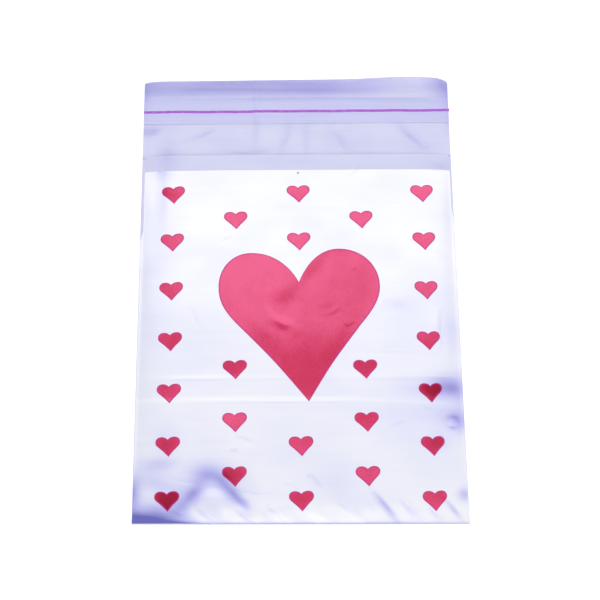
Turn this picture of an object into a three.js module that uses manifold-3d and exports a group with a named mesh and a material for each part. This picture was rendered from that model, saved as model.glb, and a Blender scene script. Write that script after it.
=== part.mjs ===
// A flat self-seal film bag, lying on its back with the front wall up and the closing flap open.
// Units are millimetres. X runs across the bag, Y from the bottom fold to the flap, Z upwards.
// The origin is the middle of the bag's footprint, on the surface that it lies on.

import * as THREE from 'three';
import { mergeVertices } from 'three/addons/utils/BufferGeometryUtils.js';
import Module from 'manifold-3d';

const wasm = await Module();
wasm.setup();

// Film bag
const BAG_WIDTH = 150;
const FRONT_HEIGHT = 175;
const FLAP_LENGTH = 40;
const FILM = 0.05;
const FOLD_RADIUS = 0.4;
const WELD_WIDTH = 1.5;
const WELD_GAP = 0.02;
const MOUTH_CUT = 0.01;

// How the bag was cut and welded slightly out of square: a shear, and how it grows along the bag
const SHEAR = 0.00445;
const FAN = 0.000115;

// Air in the pouch: the most it lifts the front wall, and how far from each edge it takes to do so
const BILLOW = 3.6;
const SIDE_REACH = 9;
const BOTTOM_REACH = 16;
const MOUTH_REACH = 34;
const MOUTH_BILLOW_SHARE = 0.2;

// Flap: the end that curls up, its bump and its two corners
const CURL_START = 17;
const CURL_RISE_LEFT = 0.3;
const CURL_RISE_RIGHT = 1.3;
const CURL_BUMP_RISE = 2;
const CURL_BUMP_OFFSET = 52;
const CURL_BUMP_REACH = 17;
const LEFT_CORNER = { reach: 10, drop: 1.5 };
const RIGHT_CORNER = { reach: 9, drop: 3 };

// Closure on the flap, measured from the mouth
const LINER_START = 16.9;
const LINER_WIDTH = 13;
const LINER = 0.05;
const ADHESIVE_WIDTH = 8;
const ADHESIVE = 0.04;
const LINE_WIDTH = 1.1;

// Print on the front wall
const LAYER_GAP = 0.02;
const INK = 0.03;
const PRINT_TOP_MARGIN = 8.2;
const HEART_COLUMNS = 5;
const HEART_ROWS = 7;
const HEART_SIDE_MARGIN = 15.45;
const FIRST_ROW_DROP = 11.8;
const LAST_ROW_RISE = 10.7;
const STAGGER_DROP = 13.3;
const LARGE_HEART_DROP = 60.2;
const DOT_DROP = 1.6;
const DOT_RADIUS = 0.45;

// Mesh fineness
const PITCH = 7.5;
const BOTTOM_PITCH = 4.4;
const BOTTOM_ZONE = 31;
const CORNER_SEGMENTS = 6;
const LARGE_CURVE_SEGMENTS = 8;
const SMALL_CURVE_SEGMENTS = 3;
const TALL = 20;

// Places that follow from the sizes
const half = BAG_WIDTH / 2;
const bottom = -(FRONT_HEIGHT + FLAP_LENGTH) / 2;
const mouth = bottom + FRONT_HEIGHT;
const flapEnd = mouth + FLAP_LENGTH;
const noseEnd = bottom + FOLD_RADIUS;
const weldInner = half - WELD_WIDTH;
const printTop = mouth - PRINT_TOP_MARGIN;
const linerLow = mouth + LINER_START;
const linerHigh = linerLow + LINER_WIDTH;
const linerMiddle = (linerLow + linerHigh) / 2;
const largeHeart = { x: 0, y: printTop - LARGE_HEART_DROP };
const columnPitch = (BAG_WIDTH - 2 * HEART_SIDE_MARGIN) / (HEART_COLUMNS - 1);
const firstRow = printTop - FIRST_ROW_DROP;
const rowPitch = (firstRow - bottom - LAST_ROW_RISE) / (HEART_ROWS - 1);

// Soft folds and dents of the front wall. Each one changes the billow by a share of itself, over
// an oval given by its reach across and along the bag, so that all of them fade out at the welds.
const folds = [
  { x: -half + 11, y: bottom + 9, across: 11, along: 5.5, share: 0.45 },
  { x: -half + 35, y: bottom + 7, across: 8, along: 6, share: 0.35 },
  { x: half - 3, y: bottom + 56, across: 11, along: 8, share: -0.55 },
  { x: half - 6, y: bottom + 43, across: 7, along: 6, share: -0.4 },
  { x: half - 2, y: bottom + 87, across: 8, along: 12, share: -0.35 },
  { x: largeHeart.x - 5, y: largeHeart.y - 6, across: 9, along: 7, share: -0.2 },
  { x: largeHeart.x - 8, y: largeHeart.y - 18, across: 10, along: 5, share: 0.16 },
  { x: largeHeart.x + 14, y: largeHeart.y - 12, across: 8, along: 5, share: -0.12 },
];

// The arched crease near the bottom left: a valley along part of a circle, long on its outer side
const arch = { x: -half + 35, y: bottom + 3.5, radius: 14.5, outer: 8, inner: 3.5, share: -0.6 };

// A number between a and b, at the given share of the way
function between(a, b, share) {
  return a + (b - a) * share;
}

// How far something has risen at a distance from an edge, from 0 there towards 1
function risen(distance, reach) {
  return 1 - Math.exp(-Math.max(distance, 0) / reach);
}

// A smooth step from 0 to 1 as the value passes from low to high
function smooth(value, low, high) {
  return THREE.MathUtils.smoothstep(value, low, high);
}

// What the folds and the arched crease add to the billow, as a share of it
function foldShare(x, y) {
  let share = 0;
  for (const fold of folds) {
    const across = (x - fold.x) / fold.across;
    const along = (y - fold.y) / fold.along;
    share += fold.share * Math.exp(-across * across - along * along);
  }
  const outside = Math.hypot(x - arch.x, y - arch.y) - arch.radius;
  const reach = outside > 0 ? arch.outer : arch.inner;
  const above = smooth(y, arch.y, arch.y + arch.radius / 2);
  return share + arch.share * above * Math.exp(-((outside / reach) ** 2));
}

// The rise of the front wall above the round bottom fold, from the air between the walls
function billow(x, y) {
  const side = risen(weldInner - Math.abs(x), SIDE_REACH);
  const along = risen(y - noseEnd, BOTTOM_REACH);
  const open = between(MOUTH_BILLOW_SHARE, 1, risen(mouth - y, MOUTH_REACH));
  return BILLOW * side * along * open * (1 + foldShare(x, y));
}

// The half height of the bottom fold: the full radius, less towards the flat side welds
function noseHalf(x) {
  const flat = FILM + WELD_GAP / 2;
  return between(flat, FOLD_RADIUS, risen(weldInner - Math.abs(x), SIDE_REACH));
}

// How round the bottom fold is at y: 0 at its outermost line and 1 where the walls run on
function roundness(y, start) {
  const into = THREE.MathUtils.clamp((y - start) / (noseEnd - start), 0, 1);
  return Math.sqrt(1 - (1 - into) ** 2);
}

// Outer faces of the back wall and the front wall
function backOuter(x, y) {
  return noseHalf(x) * (1 - roundness(y, bottom));
}

function frontOuter(x, y) {
  return noseHalf(x) * (1 + roundness(y, bottom)) + billow(x, y);
}

// Inner faces, one film thickness inside them
function backInner(x, y) {
  return FILM + (noseHalf(x) - FILM) * (1 - roundness(y, bottom + FILM));
}

function frontInner(x, y) {
  return FILM + (noseHalf(x) - FILM) * (1 + roundness(y, bottom + FILM)) + billow(x, y);
}

// How high the flap's end has curled up
function flapLift(x, y) {
  const along = Math.max(0, (y - flapEnd + CURL_START) / CURL_START);
  const tilt = between(CURL_RISE_LEFT, CURL_RISE_RIGHT, smooth(x, -half, half));
  const bump = CURL_BUMP_RISE * Math.exp(-(((x - CURL_BUMP_OFFSET) / CURL_BUMP_REACH) ** 2));
  return (tilt + bump) * along * along;
}

// Evenly spaced stations through all the given marks, no further apart than the pitch
function stations(marks, pitch) {
  const list = [marks[0]];
  for (let i = 1; i < marks.length; i += 1) {
    const steps = Math.max(1, Math.round((marks[i] - marks[i - 1]) / pitch));
    for (let k = 1; k < steps; k += 1) {
      list.push(between(marks[i - 1], marks[i], k / steps));
    }
    list.push(marks[i]);
  }
  return list;
}

// The stations that lie within two limits
function within(list, low, high) {
  return list.filter((value) => value >= low && value <= high);
}

// A closed body between a lower and an upper face, both given as heights over the stations. The
// lower face is level between the two limits in level, so a fan about its middle covers it there.
function slab(xs, ys, low, high, level = [0, 0]) {
  const positions = [];
  const index = [];
  for (const face of [low, high]) {
    for (const y of ys) {
      for (const x of xs) {
        positions.push(x, y, face(x, y));
      }
    }
  }
  const columns = xs.length;
  const layer = columns * ys.length;
  const quad = (a, b, c, d) => index.push(a, b, c, a, c, d);
  const isLevel = (j) => ys[j] >= level[0] && ys[j + 1] <= level[1];
  for (let j = 0; j + 1 < ys.length; j += 1) {
    for (let i = 0; i + 1 < columns; i += 1) {
      const a = j * columns + i;
      if (!isLevel(j)) {
        quad(a, a + columns, a + columns + 1, a + 1);
      }
      quad(a + layer, a + layer + 1, a + layer + columns + 1, a + layer + columns);
    }
  }
  for (let i = 0; i + 1 < columns; i += 1) {
    const back = (ys.length - 1) * columns + i;
    quad(i, i + 1, i + 1 + layer, i + layer);
    quad(back + 1, back, back + layer, back + 1 + layer);
  }
  for (let j = 0; j + 1 < ys.length; j += 1) {
    const left = j * columns;
    const right = left + columns - 1;
    quad(left + columns, left, left + layer, left + columns + layer);
    quad(right, right + columns, right + columns + layer, right + layer);
  }
  const rows = ys.map((y, j) => j).filter((j) => ys[j] >= level[0] && ys[j] <= level[1]);
  if (rows.length > 1) {
    fan(xs, ys, rows, low, positions, index);
  }
  const geometry = new THREE.BufferGeometry();
  geometry.setAttribute('position', new THREE.Float32BufferAttribute(positions, 3));
  geometry.setIndex(index);
  return geometry;
}

// Covers the level part of a lower face with triangles that meet at its middle, facing down
function fan(xs, ys, rows, low, positions, index) {
  const columns = xs.length;
  const first = rows[0] * columns;
  const last = rows[rows.length - 1] * columns;
  const rim = [];
  for (let i = 0; i + 1 < columns; i += 1) {
    rim.push(first + i);
  }
  for (const j of rows.slice(0, -1)) {
    rim.push(j * columns + columns - 1);
  }
  for (let i = columns - 1; i > 0; i -= 1) {
    rim.push(last + i);
  }
  for (const j of rows.slice(1).reverse()) {
    rim.push(j * columns);
  }
  const x = (xs[0] + xs[columns - 1]) / 2;
  const y = (ys[rows[0]] + ys[rows[rows.length - 1]]) / 2;
  const middle = positions.length / 3;
  positions.push(x, y, low(x, y));
  rim.forEach((corner, k) => index.push(middle, rim[(k + 1) % rim.length], corner));
}

// A geometry as a solid that can be joined and cut
function solid(geometry) {
  const bare = geometry.clone();
  bare.deleteAttribute('normal');
  bare.deleteAttribute('uv');
  const merged = mergeVertices(bare);
  const vertProperties = new Float32Array(merged.attributes.position.array);
  const triVerts = new Uint32Array(merged.index.array);
  return new wasm.Manifold(new wasm.Mesh({ numProp: 3, vertProperties, triVerts }));
}

// A solid as a geometry again, moved to where the bag's own shear and fan put it
function finished(body) {
  const mesh = body.getMesh();
  const positions = new Float32Array(mesh.vertProperties);
  for (let i = 0; i < positions.length; i += 3) {
    positions[i + 1] += positions[i] * (SHEAR + FAN * positions[i + 1]);
  }
  const geometry = new THREE.BufferGeometry();
  geometry.setAttribute('position', new THREE.BufferAttribute(positions, 3));
  geometry.setIndex(new THREE.BufferAttribute(new Uint32Array(mesh.triVerts), 1));
  geometry.computeVertexNormals();
  return geometry;
}

// An upright prism of an outline, tall enough to cut through the whole bag
function prism(shape, curveSegments) {
  const options = { depth: 2 * TALL, bevelEnabled: false, curveSegments };
  const geometry = new THREE.ExtrudeGeometry(shape, options);
  geometry.translate(0, 0, -TALL);
  return solid(geometry);
}

// The bag's outline seen from above, with the flap's two corners rounded off
function bagOutline() {
  const shape = new THREE.Shape();
  const beyond = TALL;
  const left = { x: -half + LEFT_CORNER.reach, y: flapEnd - LEFT_CORNER.drop };
  const right = { x: half - RIGHT_CORNER.reach, y: flapEnd - RIGHT_CORNER.drop };
  shape.moveTo(-half - beyond, bottom - beyond);
  shape.lineTo(half + beyond, bottom - beyond);
  shape.lineTo(half + beyond, right.y);
  shape.lineTo(half, right.y);
  shape.absellipse(right.x, right.y, RIGHT_CORNER.reach, RIGHT_CORNER.drop, 0, Math.PI / 2, false, 0);
  shape.lineTo(left.x, flapEnd);
  shape.absellipse(left.x, left.y, LEFT_CORNER.reach, LEFT_CORNER.drop, Math.PI / 2, Math.PI, false, 0);
  shape.lineTo(-half - beyond, left.y);
  return shape;
}

// A heart from its notch, its tip and, for each side, the top of the lobe, the widest point and
// the shoulder where the straight flank starts
function heartOutline({ notch, tip, right, left }, cx, cy) {
  const shape = new THREE.Shape();
  const at = (x, y) => [cx + x, cy + y];
  const flankBow = 0.03;
  const curves = (side, outwards) => {
    const { lobe, widest, shoulder } = side;
    const lead = [between(shoulder[0], tip[0], -0.16), between(shoulder[1], tip[1], -0.16)];
    const middle = [(shoulder[0] + tip[0]) / 2, (shoulder[1] + tip[1]) / 2];
    const bow = [between(middle[0], notch[0], flankBow), between(middle[1], notch[1], flankBow)];
    const list = [
      [notch, [between(notch[0], lobe[0], 0.12), between(notch[1], lobe[1], 0.36)],
        [between(notch[0], lobe[0], 0.43), lobe[1]], lobe],
      [lobe, [between(lobe[0], widest[0], 0.57), lobe[1]],
        [widest[0], between(widest[1], lobe[1], 0.57)], widest],
      [widest, [widest[0], between(widest[1], shoulder[1], 0.42)], lead, shoulder],
      [shoulder, bow, bow, tip],
    ];
    return outwards ? list : list.reverse().map((curve) => curve.reverse());
  };
  shape.moveTo(...at(...notch));
  for (const curve of [...curves(right, true), ...curves(left, false)]) {
    const [, first, second, end] = curve;
    shape.bezierCurveTo(...at(...first), ...at(...second), ...at(...end));
  }
  return shape;
}

// The large heart and the small one, each about its own middle
const LARGE_HEART = {
  notch: [-0.2, 3.5],
  tip: [3.8, -52.6],
  right: { lobe: [18.6, 19.8], widest: [37.7, 1.5], shoulder: [26.1, -19.9] },
  left: { lobe: [-22.5, 17.9], widest: [-37.6, 1.6], shoulder: [-29.6, -15.9] },
};
const SMALL_HEART = {
  notch: [-0.1, 2.3],
  tip: [0.4, -5.3],
  right: { lobe: [3.05, 3.7], widest: [5.5, 1.5], shoulder: [4.4, -0.8] },
  left: { lobe: [-2.9, 3.5], widest: [-5.6, 1.2], shoulder: [-4.6, -0.85] },
};

// Stations across the bag, up the front wall and up the flap
const acrossBag = stations([-half, -weldInner, weldInner, half], PITCH);
const noseMarks = [0.13, 0.5].map((share) => bottom + share * FOLD_RADIUS);
const upFront = [
  ...noseMarks,
  ...stations([noseEnd, bottom + BOTTOM_ZONE], BOTTOM_PITCH),
  ...stations([bottom + BOTTOM_ZONE, printTop, mouth], PITCH).slice(1),
];
const closureMarks = [
  linerLow,
  linerMiddle - ADHESIVE_WIDTH / 2,
  linerMiddle - LINE_WIDTH / 2,
  linerMiddle + LINE_WIDTH / 2,
  linerMiddle + ADHESIVE_WIDTH / 2,
  linerHigh,
];
const upFlap = stations([mouth + MOUTH_CUT, ...closureMarks, flapEnd], PITCH);

// One film, folded at the bottom and welded at both sides: the outer form less the pouch
function bagFilm() {
  const pastMouth = mouth + LAYER_GAP + MOUTH_CUT;
  const lower = (x, y) => (y > mouth ? flapLift(x, y) : backOuter(x, y));
  const upper = (x, y) => (y > mouth ? flapLift(x, y) + FILM : frontOuter(x, y));
  const lyingBack = [noseEnd, flapEnd - CURL_START];
  const outer = solid(slab(acrossBag, [...upFront, ...upFlap], lower, upper, lyingBack));
  const innerNose = [0.13, 0.5].map((share) => between(bottom + FILM, noseEnd, share));
  const upPouch = [...innerNose, ...within(upFront, noseEnd, mouth), pastMouth];
  const acrossPouch = within(acrossBag, -weldInner, weldInner);
  const pouch = solid(slab(acrossPouch, upPouch, backInner, frontInner, [noseEnd, pastMouth]));
  return outer.subtract(pouch).intersect(prism(bagOutline(), CORNER_SEGMENTS));
}

// How far the underside of an ink layer lies above the front wall
function inkLevel(layer) {
  return LAYER_GAP + layer * (INK + LAYER_GAP);
}

// A sheet of ink that follows the front wall, between given limits
function inkSheet(layer, xs, ys) {
  const low = (x, y) => frontOuter(x, y) + inkLevel(layer);
  const high = (x, y) => low(x, y) + INK;
  return solid(slab(xs, ys, low, high));
}

const acrossPrint = within(acrossBag, -weldInner, weldInner);
const upPrint = within(upFront, noseEnd, printTop);

// The white ground covers the front wall between the welds, up to the bare strip at the mouth
function whiteGround() {
  return inkSheet(0, acrossPrint, upPrint);
}

const inkOverGround = inkSheet(1, acrossPrint, upPrint);

function heartPrint(outline, x, y, curveSegments) {
  return inkOverGround.intersect(prism(heartOutline(outline, x, y), curveSegments));
}

function registerDot() {
  const shape = new THREE.Shape();
  shape.absarc(0, printTop - DOT_DROP, DOT_RADIUS, 0, 2 * Math.PI, false);
  return inkOverGround.intersect(prism(shape, CORNER_SEGMENTS));
}

// A strip of the closure, lying on the flap from one mark to another
function strip(low, high, level, thickness) {
  const rows = within(upFlap, low - MOUTH_CUT, high + MOUTH_CUT);
  const under = (x, y) => flapLift(x, y) + FILM + level;
  const over = (x, y) => under(x, y) + thickness;
  return solid(slab(acrossBag, rows, under, over));
}

function adhesiveStrip() {
  const reach = ADHESIVE_WIDTH / 2;
  return strip(linerMiddle - reach, linerMiddle + reach, LAYER_GAP, ADHESIVE);
}

const linerLevel = LAYER_GAP + ADHESIVE + LAYER_GAP;

function releaseLiner() {
  return strip(linerLow, linerHigh, linerLevel, LINER);
}

function linerLine() {
  const reach = LINE_WIDTH / 2;
  const level = linerLevel + LINER + LAYER_GAP;
  return strip(linerMiddle - reach, linerMiddle + reach, level, INK);
}

// Rows of small hearts: how many rows each column has, and which rows the large heart leaves out
const columns = [
  { name: 'left_outer', column: -2, rows: [0, 1, 2, 3, 4, 5, 6] },
  { name: 'left_inner', column: -1, rows: [0, 3, 4, 5] },
  { name: 'middle', column: 0, rows: [0, 1, 5, 6] },
  { name: 'right_inner', column: 1, rows: [0, 3, 4, 5] },
  { name: 'right_outer', column: 2, rows: [0, 1, 2, 3, 4, 5, 6] },
];

// Finishes
const film = { color: 0xd2d3f2, roughness: 0.18, metalness: 0, transparent: true, opacity: 0.55 };
const white = { color: 0xeceefb, roughness: 0.25, metalness: 0 };
const red = { color: 0xe0527f, roughness: 0.3, metalness: 0 };
const grey = { color: 0x8f91a8, roughness: 0.5, metalness: 0 };
const glue = { color: 0xd8daf0, roughness: 0.35, metalness: 0, transparent: true, opacity: 0.7 };
const liner = { color: 0xcdcef2, roughness: 0.3, metalness: 0, transparent: true, opacity: 0.7 };
const magenta = { color: 0xa86fc8, roughness: 0.4, metalness: 0 };

// A named mesh that stands at its own place in the bag
function piece(name, body, finish, x = 0, y = 0) {
  const geometry = finished(body).translate(-x, -y, 0);
  const mesh = new THREE.Mesh(geometry, new THREE.MeshStandardMaterial(finish));
  mesh.name = name;
  mesh.position.set(x, y, 0);
  return mesh;
}

const print = new THREE.Group();
print.add(piece('white_ground', whiteGround(), white));
const large = heartPrint(LARGE_HEART, largeHeart.x, largeHeart.y, LARGE_CURVE_SEGMENTS);
print.add(piece('large_heart', large, red, largeHeart.x, largeHeart.y));
for (const { name, column, rows } of columns) {
  const x = column * columnPitch;
  const stagger = Math.abs(column) === 1 ? STAGGER_DROP : 0;
  for (const row of rows) {
    const y = firstRow - stagger - row * rowPitch;
    const heart = heartPrint(SMALL_HEART, x, y, SMALL_CURVE_SEGMENTS);
    print.add(piece(`small_heart_${name}_${row + 1}`, heart, red, x, y));
  }
}
print.add(piece('register_dot', registerDot(), grey));

const closure = new THREE.Group();
closure.add(piece('adhesive_strip', adhesiveStrip(), glue));
closure.add(piece('release_liner', releaseLiner(), liner));
closure.add(piece('liner_line', linerLine(), magenta));

const bag = new THREE.Group();
bag.add(piece('bag_film', bagFilm(), film));
bag.add(print);
bag.add(closure);

export default bag;
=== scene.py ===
import math

import bpy
import numpy as np
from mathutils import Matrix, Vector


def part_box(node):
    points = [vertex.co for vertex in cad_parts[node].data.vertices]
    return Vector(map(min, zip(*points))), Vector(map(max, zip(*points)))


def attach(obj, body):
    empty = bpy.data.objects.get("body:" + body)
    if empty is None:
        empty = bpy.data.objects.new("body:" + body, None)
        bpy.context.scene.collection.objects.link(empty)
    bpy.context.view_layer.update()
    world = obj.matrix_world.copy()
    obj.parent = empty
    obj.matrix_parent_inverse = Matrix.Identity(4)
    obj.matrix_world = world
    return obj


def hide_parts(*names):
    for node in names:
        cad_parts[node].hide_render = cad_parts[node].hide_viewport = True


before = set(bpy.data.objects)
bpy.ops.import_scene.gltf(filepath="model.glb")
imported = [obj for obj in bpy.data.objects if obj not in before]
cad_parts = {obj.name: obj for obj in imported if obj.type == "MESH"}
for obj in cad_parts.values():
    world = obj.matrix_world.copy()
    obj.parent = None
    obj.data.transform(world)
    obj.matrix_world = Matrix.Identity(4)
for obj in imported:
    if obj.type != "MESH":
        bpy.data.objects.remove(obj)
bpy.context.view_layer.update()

# A flat self-seal film bag, lying on its back with the printed front up and the flap open.
# Shapes are worked out in millimetres in the bag's own square frame: x across, y from the bottom
# fold to the flap, z up. make_mesh() then applies the bag's shear and fan, and turns them to metres.

MM = 0.001
random = np.random.default_rng(7)

# The film: half its width, from the frame, and its other sizes
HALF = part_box("bag_film")[1].x / MM
FRONT_HEIGHT = 175.0
FLAP_LENGTH = 40.0
FILM = 0.05
FOLD_RADIUS = 0.4
WELD = 1.5
WELD_GAP = 0.02

# Places that follow from them, where the nose is the round of the bottom fold
WELD_INNER = HALF - WELD
BOTTOM = -(FRONT_HEIGHT + FLAP_LENGTH) / 2
NOSE_END = BOTTOM + FOLD_RADIUS
MOUTH = BOTTOM + FRONT_HEIGHT
FLAP_END = MOUTH + FLAP_LENGTH

# How far out of square the bag was cut and welded: a slope, and how it grows up the bag
SHEAR = 0.00445
FAN = 0.000115

# Air in the pouch: its rise, over what distance it rises from the sides, from the bottom and from
# the mouth, and the share of it that the mouth has
BILLOW = 3.6
SIDE_REACH = 9.0
BOTTOM_REACH = 16.0
MOUTH_REACH = 34.0
MOUTH_BILLOW_SHARE = 0.2

# The curl of the flap's end: its length, its rise at both sides, and the bump in it
CURL_LENGTH = 17.0
CURL_RISE_LEFT = 0.3
CURL_RISE_RIGHT = 1.3
CURL_BUMP_RISE = 2.0
CURL_BUMP_X = 52.0
CURL_BUMP_REACH = 17.0

# The flap's two corners, as reach across and drop, and where the film draws in towards them
LEFT_CORNER = (10.0, 1.5)
RIGHT_CORNER = (9.0, 3.0)
CORNER_START = FLAP_END - 12

# Print on the front wall: its top edge, the thickness of the ink, the gap under each layer, and
# the places of the large heart and of the dot
PRINT_TOP = MOUTH - 8.2
INK = 0.03
LAYER_GAP = 0.03
LARGE_HEART_PLACE = (0.0, PRINT_TOP - 60.2)
DOT_PLACE = (0.0, PRINT_TOP - 1.6)
DOT_RADIUS = 0.45

# The white over each weld: its reach at the top, how much wider it is below the bare strip, and
# the heights between which it widens
WHITE_LEFT_EDGE = (0.1, 1.2, 30, 24)
WHITE_RIGHT_EDGE = (0.5, 0.8, 41, 34)

# Under the white the film lies lower: by this much, or by this share of the pouch's rise if less.
# It comes to that between two heights below the print's top, and between two above the nose
SINK = 0.35
SINK_SHARE = 0.3
SINK_TOP = (PRINT_TOP - 0.2, PRINT_TOP - 2)
SINK_BOTTOM = (NOSE_END, NOSE_END + 3)

# The closure: strips round one line across the flap, with their level over the film. The printed
# line passes the right edge a little and wavers, by two slow sine waves
CLOSURE_MIDDLE = MOUTH + 23.4
ADHESIVE = {"width": 8.0, "level": 0.03, "thickness": 0.04}
LINER = {"width": 13.0, "level": 0.1, "thickness": 0.05}
LINE = {"width": 1.32, "level": 0.18, "thickness": 0.03, "overhang": 0.4, "waver": 0.12}
WAVER_PITCHES = (0.21, 0.083)
WAVER_PHASE = 1.3

# A heart, from its place: the notch, the tip, and for the right and the left side the top of the
# lobe, the widest point and the shoulder. Its rings of points are drawn round its middle
LARGE_HEART = (
    (-0.2, 3.5), (3.8, -52.6),
    (((18.6, 19.8), (37.7, 1.5), (26.1, -19.9)), ((-22.5, 17.9), (-37.6, 1.6), (-29.6, -15.9))),
)
SMALL_HEART = (
    (-0.1, 2.3), (0.4, -5.3),
    (((3.05, 3.7), (5.5, 1.5), (4.4, -0.8)), ((-2.9, 3.5), (-5.6, 1.2), (-4.6, -0.85))),
)
LARGE_HEART_MIDDLE = (0.0, -8.2)
SMALL_HEART_MIDDLE = (0.0, -0.4)

# The handles of its curves, as shares of the way to the next point: across and up from the notch,
# level at the lobe's top on the notch's side, level and upright round the lobe, upright below the
# widest point, and past the shoulder. Below it the side bows towards the notch
NOTCH_HANDLE = (0.12, 0.36)
LOBE_HANDLE = 0.43
ROUND_HANDLE = 0.57
SIDE_HANDLE = 0.42
SHOULDER_HANDLE = -0.16
BOW = 0.03

# Meshes: the pitch where there is relief and on the plain back wall, the columns of a strip, the
# points of each curve and the rings of each field of ink, and from what angle an edge is sharp
FINE = 0.75
COARSE = 8.0
STRIP_COLUMNS = 201
LARGE_HEART_STEPS = 34
LARGE_HEART_RINGS = 84
SMALL_HEART_STEPS = 11
SMALL_HEART_RINGS = 11
DOT_POINTS = 24
DOT_RINGS = 3
SHARP_EDGE = math.radians(50)

# Relief: the height of its waves, over what distance it rises from a weld or from the bottom fold,
# and between which heights it starts on the flap
WAVE_HEIGHT = 0.32
FLAP_WAVE_HEIGHT = 0.12
RELIEF_REACH = 2.0
FLAP_RELIEF_START = MOUTH - 6
FLAP_RELIEF_FULL = MOUTH + 2

# How slopes of the relief count as painted shade, where they have turned from the light: the step
# over which they are taken, their weight up the bag and across it, what is taken off, the most that
# they give, and the least and the most of the painted shade
SLOPE_STEP = 0.4
SLOPE_UP = 1.5
SLOPE_ACROSS = 0.6
SLOPE_LESS = 0.05
SLOPE_MOST = 0.6
PAINTED_SHADE_LEAST = -0.2
PAINTED_SHADE_MOST = 1.0

# How dense the film looks: the back wall and the flap, and the front wall
BACK_WALL_ALPHA = 0.5
FRONT_WALL_ALPHA = 0.78

# Studio, in metres and degrees. A lamp has a place, a size, a radiance and a turn from straight
# down
FLOOR_HALF = 6.0
FLOOR_LEVEL = -0.0001
FLOOR_COLOUR = (0.8, 0.8, 0.8, 1)
FLOOR_GLOW = 0.5
WORLD_LEVEL = 0.52
WHITE = (1, 1, 1, 1)
LAMPS = {
    "panel": ((0.0, 0.64, 1.0), (1.7, 0.76), 0.95, (0, 0, 0)),
    "low lamp": ((0.15, 1.5, 1.05), (1.2, 0.5), 4.3, (-54, 0, 0)),
    "fill": ((0.3, -1.1, 1.1), (1.2, 0.8), 2.4, (45, 0, 0)),
}
CAMERA_PLACE = (-0.017635, -0.122035, 0.453298)
CAMERA_TURN = (14.493, -2.113, -0.626)
CAMERA_LENS = 60
CAMERA_SENSOR = 36
CAMERA_NEAR = 0.01
CAMERA_FAR = 50

# Soft folds of the front wall: x, y, reach across and along, and share of the pouch's rise
FOLDS = [
    (-HALF + 11, BOTTOM + 9, 11, 5.5, 0.45),
    (-HALF + 35, BOTTOM + 7, 8, 6, 0.35),
    (HALF - 3, BOTTOM + 56, 11, 8, -0.55),
    (HALF - 6, BOTTOM + 43, 7, 6, -0.4),
    (HALF - 2, BOTTOM + 87, 8, 12, -0.35),
    (-7, LARGE_HEART_PLACE[1] - 8, 9, 7, -0.16),
    (-8, LARGE_HEART_PLACE[1] - 18, 10, 5, 0.16),
    (14, LARGE_HEART_PLACE[1] - 12, 8, 5, -0.12),
]

# The arched crease by the bottom left corner: middle, radius, reach outside and inside its line,
# and share of the pouch's rise
ARCH_X = -HALF + 35
ARCH_Y = BOTTOM + 3.5
ARCH_RADIUS = 13.2
ARCH_OUTER = 8.0
ARCH_INNER = 5.0
ARCH_SHARE = -0.5

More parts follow.
